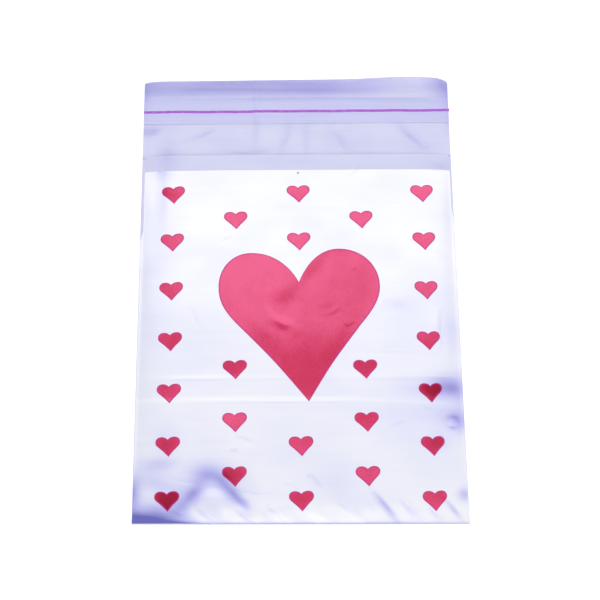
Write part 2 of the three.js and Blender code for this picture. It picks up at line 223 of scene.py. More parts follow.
# Creases of the front wall: points of the line on the real bag, width, height, and form of the
# section
FRONT_CREASES = [
    # Straight across the bag, from beside the large heart's tip down
    ([(-72.6, -43), (-20, -42.8), (29.6, -42.7), (72.3, -42.3)], 0.9, 0.08, "ridge"),
    ([(-61.7, -42.8), (-45.8, -42.8), (-30.9, -42.8)], 0.8, 0.08, "ridge"),
    ([(32.6, -42.6), (54.5, -42.4), (73.3, -42.2)], 0.8, 0.08, "ridge"),
    ([(-73.6, -52.8), (-20, -53.3), (29.6, -53.6), (73.3, -55.2)], 0.9, 0.12, "ridge"),
    ([(-57.7, -52.9), (-29.9, -53.1), (-0.1, -53.5)], 0.9, 0.08, "ridge"),
    ([(-73.6, -54.8), (-20, -55.5), (29.6, -55.9), (73.3, -57.7)], 1.1, 0.06, "ridge"),
    ([(-73.6, -84.3), (-44.8, -90.3), (-20, -94.8), (-0.1, -95.7), (14.8, -97.2)],
     0.8, -0.1, "ridge"),
    # Diagonal wrinkles at the bottom fold
    ([(31.6, -94.3), (36.6, -100.2), (43.5, -107.2)], 1.2, -0.36, "soft"),
    ([(28.7, -96.2), (32.6, -101.2), (36.6, -106.2)], 1.4, 0.2, "soft"),
    ([(-47, -99), (-40, -104), (-35, -107.4)], 1.8, 0.3, "soft"),
    ([(-30, -100), (-24, -104), (-20, -107.4)], 1.6, 0.48, "soft"),
    ([(-15, -99), (-9, -103.5), (-5, -107.4)], 1.7, 0.46, "soft"),
    ([(0, -98), (7, -103), (11, -107.4)], 1.8, 0.44, "soft"),
    ([(16, -97), (23, -102), (28, -107.4)], 1.8, 0.44, "soft"),
    ([(44, -96), (49, -102), (53, -107.4)], 1.5, 0.4, "soft"),
    ([(56.4, -101.2), (60.4, -107.2)], 1.0, -0.24, "soft"),
    ([(51.5, -98.2), (55.5, -106.2)], 1.0, 0.18, "soft"),
    ([(64.4, -98.2), (69.3, -104.2), (72.3, -107.2)], 1.1, -0.3, "soft"),
    ([(66.9, -104.2), (71.3, -107.2)], 0.9, 0.2, "soft"),
    # Short creases in the lower half
    ([(2.9, -86.3), (8.8, -94.3)], 1.7, -0.3, "soft"),
    ([(-7.1, -90.3), (-0.1, -94.3)], 1.3, -0.14, "soft"),
    ([(-59.7, -99.2), (-49.7, -103.2)], 1.5, 0.2, "soft"),
    ([(-30.9, -70), (-25.9, -70.4), (-21, -72.9)], 1.1, -0.15, "soft"),
    ([(-31.9, -74.6), (-27.9, -74.4)], 0.8, 0.16, "soft"),
    ([(-27.9, -97.2), (-20, -101.2)], 1.2, -0.2, "soft"),
    ([(54.5, -56.5), (61.4, -58.5)], 1.0, -0.12, "soft"),
    ([(66.4, -64.1), (69.8, -64.9), (72.3, -63.7)], 1.0, 0.3, "soft"),
    ([(66.4, -61.9), (69.3, -61.5), (72.3, -61.9)], 1.6, -0.25, "soft"),
    ([(53.5, -80.4), (52.5, -88.3)], 0.9, -0.12, "soft"),
    ([(39.6, -64.5), (47.5, -61.5)], 0.9, 0.1, "soft"),
    ([(19.7, -31.7), (63.4, -31.3)], 0.9, -0.06, "soft"),
    # In and beside the large heart
    ([(-15.6, -9.6), (-12.2, -14.6), (-6.4, -17.4), (-2.6, -16.4)], 1.7, 0.26, "soft"),
    ([(-14, -17.2), (-8.5, -20.4), (-2.5, -20.6)], 2.8, -0.26, "soft"),
    ([(9.8, -12.9), (14.8, -11.9), (18.7, -8.9)], 1.3, 0.15, "soft"),
    ([(19.7, -16.2), (22.4, -17.4), (25.6, -14.9)], 1.2, 0.2, "soft"),
    ([(23.7, 9), (27.7, 10)], 0.9, 0.1, "soft"),
    ([(-51.7, -8.9), (-48.8, -13.9), (-45.8, -20.8)], 1.1, -0.1, "soft"),
    ([(38.6, -9.4), (50.5, -10.4)], 2.6, -0.16, "soft"),
    # In the upper half, and along the welds
    ([(-65.6, 58.6), (-65.6, 28.8)], 2.6, -0.4, "soft"),
    ([(-36.8, 21.9), (-30.9, 24.8)], 0.9, -0.1, "soft"),
    ([(65.4, 18.9), (73.3, 11.9)], 1.0, -0.14, "soft"),
    ([(29.6, 43.7), (30.6, 58.6)], 1.5, -0.12, "soft"),
    ([(24.7, 56.6), (28.7, 61.6), (29.6, 66.5)], 1.2, 0.16, "soft"),
    ([(65.4, -9.9), (64.9, -20.8), (65.4, -30.7)], 1.4, -0.2, "step"),
    ([(-63.6, 66.5), (-65.6, 55.6)], 1.8, -0.25, "soft"),
    ([(66.4, 62.6), (72.3, 59.6)], 1.2, -0.2, "soft"),
]

# Creases of the flap in the same way, which only rise
FLAP_CREASES = [
    ([(-52, 76), (-45, 79), (-39, 82.5)], 1.1, 0.2, "soft"),
    ([(-20, 70), (-20, 108)], 1.3, 0.28, "soft"),
    ([(-3, 85), (-6, 76), (-10, 71)], 1.3, 0.18, "soft"),
    ([(-10, 71), (-24, 69.6), (-38, 70)], 0.9, 0.15, "soft"),
    ([(4, 69), (4, 84)], 1.0, 0.2, "soft"),
    ([(20, 79), (24, 70)], 1.0, 0.15, "soft"),
    ([(50, 86), (55, 80), (60, 76), (64, 72)], 2.0, 0.3, "soft"),
    ([(-75, 79), (-71, 80.4), (-67, 82)], 2.2, 0.4, "soft"),
    ([(-74, 97.6), (0, 98.4), (74, 98.2)], 1.6, 0.35, "ridge"),
    ([(-74, 103.4), (0, 103.2), (45, 103)], 1.8, 0.3, "soft"),
]

# Sections of a crease, over the distance from its line in widths, and the power that fades its
# ends
SECTIONS = {
    "ridge": lambda q: np.exp(-np.abs(q)),
    "soft": lambda q: np.exp(-q * q),
    "step": lambda q: q * np.exp(-q * q / 2),
}
CREASE_END_FADE = 0.6

# Oval patches of shade painted on the pearly white where it has turned from the light: x and y on
# the real bag, reach across and along, turn in degrees, and strength, which is below 0 for a painted
# highlight where the white shines
WHITE_PAINTED_SHADES = [
    # The bottom left corner
    (-72, -108, 19, 7.6, 0, 1.35),
    (-53, -107.4, 12, 2.2, 0, 0.3),
    (-76.5, -93.3, 4.5, 6.5, 0, 0.8),
    (-66, -81.5, 9, 4, -8, 0.22),
    (-60.5, -80.5, 6.5, 2.8, 0, 0.16),
    (-69.6, -86.5, 14, 5, -12, 0.14),
    (-57.7, -91.5, 14, 4, -12, 0.24),
    (-59.5, -99.5, 6, 5, 0, 0.2),
    (-59.5, -72, 6, 6, 0, 0.16),
    # The arched crease, from its left foot over its crown to its right foot, and inside it
    (-53, -99.3, 4.2, 5, -42, 0.38),
    (-47.6, -93.8, 3.8, 6, -42, 0.52),
    (-41.8, -86.4, 7.0, 5.0, -4, 0.47),
    (-35, -89.6, 3.2, 4.8, 42, 0.4),
    (-30.2, -94, 2.8, 5.5, 40, 0.5),
    (-25.4, -99, 2, 4.2, 46, 0.44),
    (-38, -98.5, 7, 5, 0, 0.17),
    (-30, -96, 4, 4, 0, 0.1),
    # The dents at the right weld
    (72.3, -47.2, 10, 6.5, 0, 0.46),
    (65, -47.2, 8, 5.5, 0, 0.22),
    (56, -47.6, 13, 4, 0, 0.14),
    (72.3, -62.5, 6, 5.5, 0, 0.42),
    (65.4, -59.5, 12, 5, 0, 0.16),
    (63.5, -71, 6, 5, 0, 0.16),
    (57.4, -80.4, 14, 12, 0, 0.08),
    (70.3, -19.8, 5, 12, 0, 0.2),
    # Towards the bottom right corner
    (73.3, -95.3, 3, 3, 0, 0.45),
    (38.2, -101.6, 1.4, 7.5, 40, 0.4),
    (68, -102.4, 1.0, 5.5, 40, 0.34),
    (17.7, -93.3, 16, 6, -30, 0.08),
    # The left weld
    (-65.0, 57.6, 4.0, 4.2, 0, 0.26),
    (-65.1, 43.7, 2.6, 14, 0, 0.14),
    (-68, -5, 9, 60, 0, 0.11),
    # Painted highlights along the straight creases across
    (-22, -52.4, 45, 1.1, 0.2, -0.2),
    (48, -54, 30, 0.9, -0.8, -0.05),
    (-48, -41.8, 18, 0.8, 0, -0.14),
    # Broad and faint painted shade
    (-0.1, -55.6, 90, 45, 0, 0.06),
    (0, 40, 100, 40, 0, 0.035),
    (12, 55, 64, 16, 0, 0.06),
    (42, 38, 26, 12, 0, 0.03),
    (56, -2, 18, 22, 0, 0.02),
    (45.5, -9.9, 8, 5, 0, 0.07),
    (-48, -20, 15, 17, 0, 0.07),
    (50, -62, 18, 12, 0, 0.06),
    # Painted shade at the line at the bottom fold, a painted highlight above it, and both at the
    # wrinkles
    (0, -107.0, 90, 0.5, 0, 0.5),
    (8, -102.8, 52, 3.4, 0, -0.12),
    (-12, -101.5, 9, 1.6, 8, 0.1),
    (-38, -104, 2.2, 5.5, 50, 0.1),
    (-45, -104.4, 1.8, 5, 45, -0.16),
    (-30.4, -104.2, 1.8, 5, 50, -0.12),
    (-25, -104.2, 1.8, 5, 50, 0.12),
    (-15.5, -104.4, 2, 5, 50, 0.11),
    (-3, -104, 2.2, 5.5, 50, 0.1),
    (12, -104, 2.4, 6, 50, 0.1),
    (24, -103, 2.4, 6, 48, 0.08),
    (50, -103.4, 2, 6, 45, 0.11),
    (60, -104, 1.6, 5, 45, 0.12),
]

# Painted shade that the red ink has besides the white's where it has turned from the light, with
# painted highlights where the strength is below 0
RED_PAINTED_SHADES = [
    # The small hearts of the lower half
    (-46, -34, 28, 9, 0, 0.2),
    (46, -34, 28, 9, 0, 0.22),
    (-30, -38, 8, 8, 0, 0.09),
    (30, -38, 8, 8, 0, 0.09),
    (-60, -49, 8, 8, 0, 0.1),
    (61, -48.7, 9, 8, 0, 0.27),
    (30, -62, 8, 8, 0, 0.14),
    (-60, -73, 9, 8, 0, 0.12),
    (0, -73, 9, 7, 0, 0.03),
    (60, -73, 9, 8, 0, 0.2),
    (-30, -86, 8, 8, 0, 0.14),
    (30, -86, 8, 8, 0, 0.12),
    (-60, -97, 8, 8, 0, 0.38),
    (0, -97, 12, 7, 0, 0.21),
    (60, -97, 9, 8, 0, 0.17),
    # The small hearts of the upper half, where the white's broad painted shade is taken off again
    (-60, -6, 10, 50, 0, 0.1),
    (60, -24, 9, 8, 0, 0.12),
    (60, 0, 9, 8, 0, 0.07),
    (-60, 48, 8, 8, 0, 0.14),
    (0, 40, 100, 40, 0, -0.045),
    (12, 55, 64, 16, 0, -0.05),
    (42, 38, 26, 12, 0, -0.03),
    # The large heart: painted shade and highlights at its creases and lobes, and painted shade at its
    # tip
    (-5.4, -2.8, 3.6, 8.5, -43, 0.13),
    (-7.5, -15.4, 5.5, 1.6, -24, -0.14),
    (-13, -11.6, 1.5, 4, 35, -0.09),
    (-9.5, -18.9, 4.5, 1.5, -26, 0.14),
    (7, 10, 3, 9, -38, 0.12),
    (-17, -24, 4, 13, 45, 0.11),
    (17, -27, 3.5, 12, -36, 0.09),
    (18, 19.5, 11, 2.6, 0, 0.12),
    (27, 2, 14, 18, 0, 0.07),
    (4, -46, 22, 26, 0, 0.2),
    (-26, 8, 16, 12, 0, -0.06),
    (0, -14, 26, 16, 0, -0.02),
]

# Painted shade where the clear film has turned from the light, in the same way
FILM_PAINTED_SHADES = [
    # The line at the bottom fold
    (0, -107.4, 90, 0.7, 0, 0.6),
    # The flap's end and its corners
    (-20, 110.4, 60, 7.4, 0, 1.1),
    (-75, 108, 10, 9, 0, 0.35),
    (-52, 100.8, 58, 3.6, 0, 0.38),
    (15, 102, 26, 3.2, 0, 0.3),
    (76, 107, 8, 8, 0, 1.0),
    (40, 105, 32, 6, 0, 0.12),
    (77, 94, 3.5, 12, 0, 0.4),
    (-76, 98, 3.4, 12, 0, 0.3),
    # The creases between the release film and the mouth
    (-72, 80.6, 5, 2.2, 8, 0.3),
    (55, 79, 3, 10, 45, 0.16),
    (-6, 77, 2.4, 9, -16, 0.14),
    (-20.5, 82, 1.6, 9, 0, 0.08),
    (4.5, 78, 2.4, 9, 0, 0.1),
    (-24, 70.4, 12, 1.4, 2, 0.12),
    (-46, 79.2, 7.5, 1.2, 25, 0.12),
    (21.5, 76, 2.4, 8, 42, 0.1),
    (-63, 66, 5, 7, 0, 0.3),
    (70, 61.5, 6, 2.2, 0, 0.22),
]

# Long waves of the film, each 24 to 90 mm long: radians a millimetre, direction and phase
WAVE_COUNT = 9
WAVE_PITCHES = (0.07, 0.26)
WAVE_PHASES = (0, 6)
WAVES = [
    (random.uniform(*WAVE_PITCHES), random.uniform(0, math.pi), random.uniform(*WAVE_PHASES))
    for _ in range(WAVE_COUNT)
]


def risen(distance, reach):
    """From 0 at an edge towards 1: one less the exponential of minus distance over reach."""
    return 1 - np.exp(-np.maximum(distance, 0) / reach)


def smooth(value, low, high):
    """A smooth step from 0 to 1 as the value passes from low to high: three times the square less
    twice the cube of how far it has passed."""
    t = np.clip((value - low) / (high - low), 0, 1)
    return t * t * (3 - 2 * t)


def sheared(x, y):
    """Where the bag's shear and fan put a point: y grows by x times (shear + fan times y)."""
    return y + x * (SHEAR + FAN * y)


def squared(x, y):
    """The way back from a place on the real bag to its square frame."""
    return (y - x * SHEAR) / (1 + x * FAN)


def from_line(x, y, points):
    """Distance of every point from a line through the given points, positive on its left: the
    least of the distances from its straight stretches. And how far along that line, from 0 to 1,
    the nearest place lies."""
    best = np.full(np.shape(x), np.inf)
    along = np.zeros(np.shape(x))
    places = [(px, squared(px, py)) for px, py in points]
    lengths = [math.dist(a, b) for a, b in zip(places, places[1:])]
    done = 0.0
    for (ax, ay), (bx, by), length in zip(places, places[1:], lengths):
        ux, uy = (bx - ax) / length, (by - ay) / length
        reach = (x - ax) * ux + (y - ay) * uy
        side = np.sign((y - ay) * ux - (x - ax) * uy)
        held = np.clip(reach, 0, length)
        distance = np.hypot(x - ax - held * ux, y - ay - held * uy)
        nearer = distance < np.abs(best)
        best = np.where(nearer, distance * np.where(side == 0, 1, side), best)
        along = np.where(nearer, (done + held) / sum(lengths), along)
        done += length
    return best, along


def crease(x, y, points, width, height, form):
    """A crease: its height times its section over the distance from its line, faded out towards
    both ends by a power of the sine of how far along it is."""
    distance, along = from_line(x, y, points)
    fade = np.sin(math.pi * np.clip(along, 0, 1)) ** CREASE_END_FADE
    return height * SECTIONS[form](distance / width) * fade


def ovals(x, y, table):
    """The sum of turned oval patches, each its strength times the exponential of minus its squared
    distance in reaches."""
    total = np.zeros(np.shape(x))
    for px, py, across, along, turn, strength in table:
        py = squared(px, py)
        cosine, sine = math.cos(math.radians(turn)), math.sin(math.radians(turn))
        u = ((x - px) * cosine + (y - py) * sine) / across
        v = (-(x - px) * sine + (y - py) * cosine) / along
        total += strength * np.exp(-u * u - v * v)
    return total


def wobble(x, y):
    """Slight waviness of the film: the mean of its long sine waves."""
    return sum(
        np.sin(pitch * (x * math.cos(turn) + y * math.sin(turn)) + phase)
        for pitch, turn, phase in WAVES
    ) / len(WAVES)


def pouch(x, y):
    """Rise of the front wall over the air in the bag: the billow times how far it has risen from
    each side, from the bottom and from the mouth."""
    side = risen(WELD_INNER - np.abs(x), SIDE_REACH)
    bottom = risen(y - NOSE_END, BOTTOM_REACH)
    opened = MOUTH_BILLOW_SHARE + (1 - MOUTH_BILLOW_SHARE) * risen(MOUTH - y, MOUTH_REACH)
    return BILLOW * side * bottom * opened


def front_relief(x, y):
    """What the front wall has besides: shares of the pouch's rise, and waves and creases. A fold's
    share fades with the exponential of minus the squared distance in reaches, and that of the
    arched crease does so from a circle, above its middle. All fade out at the welds and at the
    bottom fold."""
    share = np.zeros(np.shape(x))
    for fold_x, fold_y, across, along, part in FOLDS:
        share += part * np.exp(-(((x - fold_x) / across) ** 2) - ((y - fold_y) / along) ** 2)
    outside = np.hypot(x - ARCH_X, y - ARCH_Y) - ARCH_RADIUS
    reach = np.where(outside > 0, ARCH_OUTER, ARCH_INNER)
    above = smooth(y, ARCH_Y, ARCH_Y + ARCH_RADIUS / 2)
    share += ARCH_SHARE * above * np.exp(-((outside / reach) ** 2))
    free = risen(WELD_INNER - np.abs(x), RELIEF_REACH) * risen(y - NOSE_END, RELIEF_REACH)
    detail = WAVE_HEIGHT * wobble(x, y)
    for points, width, height, form in FRONT_CREASES:
        detail = detail + crease(x, y, points, width, height, form)
    return pouch(x, y) * share + free * detail


def nose_half(x):
    """Half height of the bottom fold: flat in the side welds, and risen to its radius between."""
    flat = FILM + WELD_GAP / 2
    return flat + (FOLD_RADIUS - flat) * risen(WELD_INNER - np.abs(x), SIDE_REACH)


def roundness(y):
    """How round the bottom fold is at y, along a quarter circle: 0 at its outermost line, and 1
    where the walls run on."""
    into = np.clip((y - BOTTOM) / FOLD_RADIUS, 0, 1)
    return np.sqrt(1 - (1 - into) ** 2)


def front(x, y):
    """Outer face of the front wall: the fold's height, the pouch's rise, and the relief."""
    return nose_half(x) * (1 + roundness(y)) + pouch(x, y) + front_relief(x, y)


def flap_relief(x, y):
    """The waves and creases of the flap, which only rise, and start behind the mouth."""
    detail = FLAP_WAVE_HEIGHT * (1 + wobble(x, y))
    for points, width, height, form in FLAP_CREASES:
        detail = detail + crease(x, y, points, width, height, form)
    return smooth(y, FLAP_RELIEF_START, FLAP_RELIEF_FULL) * detail


def flap(x, y):
    """Lower face of the back wall and of the flap: the curl, which rises with the square of the
    distance from its start and has a rounded bump across, and the relief."""
    along = np.maximum(0, (y - FLAP_END + CURL_LENGTH) / CURL_LENGTH)
    tilt = CURL_RISE_LEFT + (CURL_RISE_RIGHT - CURL_RISE_LEFT) * smooth(x, -HALF, HALF)
    bump = CURL_BUMP_RISE * np.exp(-(((x - CURL_BUMP_X) / CURL_BUMP_REACH) ** 2))
    return (tilt + bump) * along * along + flap_relief(x, y)


def painted_shade(x, y, relief, table):
    """How much shade is painted on the film where it has turned from the light, up to 1, and a little
    below 0 for a painted highlight where it shines: the patches of the table, and the slopes of the
    relief that face down the bag or to its sides."""
    slope_y = (relief(x, y + SLOPE_STEP) - relief(x, y - SLOPE_STEP)) / (2 * SLOPE_STEP)
    slope_x = (relief(x + SLOPE_STEP, y) - relief(x - SLOPE_STEP, y)) / (2 * SLOPE_STEP)
    slopes = SLOPE_UP * np.maximum(slope_y, 0) + SLOPE_ACROSS * np.abs(slope_x) - SLOPE_LESS
    patches = ovals(x, y, table)
    return np.clip(patches + np.clip(slopes, 0, SLOPE_MOST), PAINTED_SHADE_LEAST, PAINTED_SHADE_MOST)


def make_mesh(name, x, y, z, faces, marks):
    """An object whose mesh has its points given as flat arrays in millimetres, its faces in groups,
    and one number a point for each named mark. The shear and the fan are applied here."""
    mesh = bpy.data.meshes.new(name)
    points = np.column_stack([x, sheared(x, y), z]) * MM
    mesh.from_pydata(points.tolist(), [], [face for group in faces for face in group.tolist()])
    for mark, values in marks.items():
        layer = mesh.attributes.new(mark, "FLOAT", "POINT")
        layer.data.foreach_set("value", np.asarray(values, np.float32))
    mesh.polygons.foreach_set("use_smooth", [True] * len(mesh.polygons))
    mesh.set_sharp_from_angle(angle=SHARP_EDGE)
    mesh.validate()
    piece = bpy.data.objects.new(name, mesh)
    bpy.context.scene.collection.objects.link(piece)
    return piece


def grid_faces(rows, columns):
    """Faces of a grid of points, facing up where x grows with the column and y with the row."""
    index = np.arange(rows * columns).reshape(rows, columns)
    corners = [index[:-1, :-1], index[:-1, 1:], index[1:, 1:], index[1:, :-1]]
    return np.stack(corners, axis=-1).reshape(-1, 4)


def grid_rim(rows, columns):
    """The rim of a grid of points, anticlockwise."""
    index = np.arange(rows * columns).reshape(rows, columns)
    return np.concatenate([index[0, :-1], index[:-1, -1], index[-1, :0:-1], index[:0:-1, 0]])


def closed(name, x, y, low, thickness, faces, rim, marks):
    """A closed thin body: the faces at the low level plus the thickness, the same turned over at
    the low level, and a wall round the rim, whose points are given anticlockwise."""
    count = len(x)
    after = np.roll(rim, -1)
    wall = np.stack([rim + count, after + count, after, rim], axis=-1)
    below = [group[:, ::-1] + count for group in faces]
    both = {mark: np.tile(values, 2) for mark, values in marks.items()}
    levels = np.concatenate([low + thickness, low])
    return make_mesh(name, np.tile(x, 2), np.tile(y, 2), levels, [*faces, *below, wall], both)


def closed_grid(name, x, y, low, thickness, shade):
    """A closed thin body over a grid of points, with its painted shade as a mark."""
    return closed(name, x.ravel(), y.ravel(), low.ravel(), thickness, [grid_faces(*x.shape)],
                  grid_rim(*x.shape), {"painted_shade": shade.ravel()})


def stations(start, end, pitch):
    """Even stations from start to end, about a pitch apart."""
    steps = max(1, round((end - start) / pitch))
    return np.linspace(start, end, steps + 1)


# Stations across the bag between the welds and in them, round the nose, and up the front wall
ACROSS = stations(-WELD_INNER, WELD_INNER, FINE)
WELD_STATIONS = np.array([0.35, 0.75, 1.15])
NOSE = BOTTOM + FOLD_RADIUS * np.array([0, 0.03, 0.13, 0.3, 0.55])
UP_PRINT = stations(NOSE_END, PRINT_TOP, FINE)
UP_MOUTH = stations(PRINT_TOP, MOUTH, FINE)[1:]


def flap_edge(x):
    """Where the flap ends: a straight end with a quarter oval at each corner."""
    edge = np.full(np.shape(x), FLAP_END)
    for (reach, drop), side in ((LEFT_CORNER, -1), (RIGHT_CORNER, 1)):
        into = np.clip((side * x - (HALF - reach)) / reach, 0, 1)
        edge = edge - drop * (1 - np.sqrt(1 - into * into))
    return edge


def drawn_in(x, y):
    """The rows of the flap's last stretch, closed up evenly so that the last one is its edge."""
    closing = (flap_edge(x) - CORNER_START) / (FLAP_END - CORNER_START)
    return np.where(y > CORNER_START, CORNER_START + (y - CORNER_START) * closing, y)


def film_bag():
    """The one film: a strip that runs from the flap's end down the back, round the bottom fold
    and up the front to the mouth. Its height is the flap's or the front's, and under the white it
    lies a little lower, with half the rows. It carries a mark of painted shade, where it has turned
    from the light, and the mark doubled is 1 on the front wall. The film gets its thickness inwards."""
    weld = HALF - WELD_STATIONS
    across = np.concatenate([[-HALF], -weld, ACROSS, weld[::-1], [HALF]])
    plain = stations(NOSE_END, FLAP_RELIEF_START, COARSE)[:-1]
    up_back = np.concatenate([plain, stations(FLAP_RELIEF_START, FLAP_END, FINE)])
    up_front = np.concatenate([NOSE[1:], UP_PRINT[:-4:2], UP_PRINT[-3:], UP_MOUTH])
    x, y = np.meshgrid(across, np.concatenate([up_back[::-1], NOSE[::-1], up_front]))
    on_back = np.arange(len(y))[:, None] < len(up_back) + len(NOSE)
    y = drawn_in(x, y)
    back = flap(x, y) + nose_half(x) * (1 - roundness(y))
    sunk = smooth(y, *SINK_TOP) * smooth(y, *SINK_BOTTOM)
    wall = front(x, y) - sunk * np.minimum(SINK, SINK_SHARE * pouch(x, y))
    z = np.where(on_back, back, wall)
    back_painted_shade = painted_shade(x, y, flap_relief, FILM_PAINTED_SHADES)
    front_painted_shade = painted_shade(x, y, front_relief, FILM_PAINTED_SHADES)
    marks = {
        "painted_shade": np.where(on_back, back_painted_shade, front_painted_shade).ravel(),
        "doubled": np.where(on_back, 0.0, np.ones(y.shape)).ravel(),
    }
    piece = make_mesh("film_bag", x.ravel(), y.ravel(), z.ravel(), [grid_faces(*z.shape)], marks)
    thicken(piece)
    return piece


def thicken(piece):
    """Gives the film its thickness on the inner side of the sheet, as a plain mesh."""
    film = piece.modifiers.new("film thickness", "SOLIDIFY")
    film.thickness = FILM * MM
    film.offset = -1
    sheet = piece.data
    thick = piece.evaluated_get(bpy.context.evaluated_depsgraph_get())
    piece.data = bpy.data.meshes.new_from_object(thick)
    piece.modifiers.clear()
    bpy.data.meshes.remove(sheet)
    piece.data.name = piece.name
    piece.data.set_sharp_from_angle(angle=SHARP_EDGE)


def over_weld(y, least, more, start, full):
    """Where the white ends over a weld: past its inner edge by the least, and by more below."""
    return WELD_INNER + least + more * smooth(y, start, full)


def white_print():
    """The white ground: a thin sheet of ink that follows the front wall from weld to weld. Below
    the bare strips at the top of both sides it runs on over the welds."""
    left = over_weld(UP_PRINT, *WHITE_LEFT_EDGE)
    right = over_weld(UP_PRINT, *WHITE_RIGHT_EDGE)
    inner = np.tile(ACROSS, (len(UP_PRINT), 1))
    columns = [-left, -(left + WELD_INNER) / 2, inner, (right + WELD_INNER) / 2, right]
    x = np.column_stack(columns)
    y = np.repeat(UP_PRINT[:, None], x.shape[1], axis=1)
    # The white's painted shade, where it has turned from the light
    shade = painted_shade(x, y, front_relief, WHITE_PAINTED_SHADES)
    return closed_grid("white_print", x, y, front(x, y) + LAYER_GAP, INK, shade)


def bezier(a, b, c, d, steps):
    """Points of a cubic curve between a and d, without d."""
    t = np.linspace(0, 1, steps, endpoint=False)[:, None]
    a, b, c, d = (np.array(p, float) for p in (a, b, c, d))
    return (1 - t) ** 3 * a + 3 * t * (1 - t) ** 2 * b + 3 * t * t * (1 - t) * c + t ** 3 * d


def between(a, b, share_x, share_y):
    """A place between two points, by a share across and a share up."""
    return a[0] + (b[0] - a[0]) * share_x, a[1] + (b[1] - a[1]) * share_y


def heart_outline(notch, tip, sides, steps):
    """The outline of a heart, anticlockwise: for each side four cubic curves, from the notch over
    the lobe, the widest point and the shoulder to the tip."""
    halves = []
    for lobe, widest, shoulder in sides:
        middle = between(shoulder, tip, 0.5, 0.5)
        bow = between(middle, notch, BOW, BOW)
        over = between(notch, lobe, *NOTCH_HANDLE), between(notch, lobe, LOBE_HANDLE, 1)
        out = between(lobe, widest, ROUND_HANDLE, 0), between(widest, lobe, 0, ROUND_HANDLE)
        lead = between(shoulder, tip, SHOULDER_HANDLE, SHOULDER_HANDLE)
        down = between(widest, shoulder, 0, SIDE_HANDLE), lead
        halves.append([
            (notch, *over, lobe), (lobe, *out, widest), (widest, *down, shoulder),
            (shoulder, bow, bow, tip),
        ])
    right, left = halves
    left_down = [bezier(*curve, steps) for curve in left]
    right_up = [bezier(*curve[::-1], steps) for curve in right[::-1]]
    return np.concatenate([*left_down, *right_up])


def on_front(name, outline, middle, rings, place):
    """A closed field of ink over the white, which follows the front wall: rings of points between
    its middle and its outline, at even shares of the way. Its mark of painted shade is the white's
    and what the red has besides, and the mark rim is the distance to the outline, in millimetres."""
    share = np.linspace(0, 1, rings + 1)[1:, None]
    arm_x, arm_y = outline[:, 0] - middle[0], outline[:, 1] - middle[1]
    hub_x, hub_y = place[0] + middle[0], place[1] + middle[1]
    x = np.append((hub_x + share * arm_x).ravel(), hub_x)
    y = np.append((hub_y + share * arm_y).ravel(), hub_y)
    arm = np.hypot(arm_x, arm_y)
    rim = np.append(((1 - share) * arm).ravel(), arm.min())
    heart_painted_shade = painted_shade(x, y, front_relief, WHITE_PAINTED_SHADES) + ovals(x, y, RED_PAINTED_SHADES)
    marks = {"painted_shade": np.clip(heart_painted_shade, PAINTED_SHADE_LEAST, PAINTED_SHADE_MOST), "rim": rim}

    count = len(outline)
    index = np.arange(rings * count).reshape(rings, count)
    after = np.roll(index, -1, axis=1)
    bands = np.stack([index[:-1], index[1:], after[1:], after[:-1]], axis=-1).reshape(-1, 4)
    fan = np.column_stack([np.full(count, rings * count), index[0], after[0]])
    low = front(x, y) + 2 * LAYER_GAP + INK
    return closed(name, x, y, low, INK, [bands, fan], index[-1], marks)


def large_heart():
    """The large heart over the white."""
    outline = heart_outline(*LARGE_HEART, LARGE_HEART_STEPS)
    middle, place = LARGE_HEART_MIDDLE, LARGE_HEART_PLACE
    return on_front("heart_large", outline, middle, LARGE_HEART_RINGS, place)


def small_heart(node):
    """A small heart over the white, where the frame has it: midway between its widest points, and
    with its tip at its lowest point."""
    low, high = (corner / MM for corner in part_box(node))
    tip, sides = SMALL_HEART[1:]
    x = (low.x + high.x - sum(widest[0] for _, widest, _ in sides)) / 2
    y = squared(x + tip[0], low.y) - tip[1]
    outline = heart_outline(*SMALL_HEART, SMALL_HEART_STEPS)
    name = node.replace("small_heart", "heart")
    return on_front(name, outline, SMALL_HEART_MIDDLE, SMALL_HEART_RINGS, (x, y))


def print_dot():
    """The small dot of print below the top edge of the white: a circle."""
    turn = np.linspace(0, 2 * math.pi, DOT_POINTS, endpoint=False)
    outline = DOT_RADIUS * np.column_stack([np.cos(turn), np.sin(turn)])
    return on_front("print_dot", outline, (0.0, 0.0), DOT_RINGS, DOT_PLACE)


def strip(name, width, level, thickness, overhang=0.0, waver=0.0):
    """A strip of the closure, as wide as given round its middle line. It follows the flap at a
    level over the film, and its waver is the product of two sine waves. It carries the film's painted
    shade as a mark."""
    low, high = CLOSURE_MIDDLE - width / 2, CLOSURE_MIDDLE + width / 2
    across = np.linspace(-HALF, HALF + overhang, STRIP_COLUMNS)
    x, y = np.meshgrid(across, stations(low, high, FINE))
    first, second = WAVER_PITCHES
    y = y + waver * np.sin(first * x + WAVER_PHASE) * np.sin(second * x)
    under = flap(np.clip(x, -HALF, HALF), y) + FILM + level
    return closed_grid(name, x, y, under, thickness, painted_shade(x, y, flap_relief, FILM_PAINTED_SHADES))


def linear(red, green, blue):
    """A colour given by its sRGB bytes, as Blender wants it: the sRGB curve, taken back."""
    shares = np.array([red, green, blue]) / 255
    low, high = shares / 12.92, ((shares + 0.055) / 1.055) ** 2.4
    return (*np.where(shares <= 0.04045, low, high), 1.0)


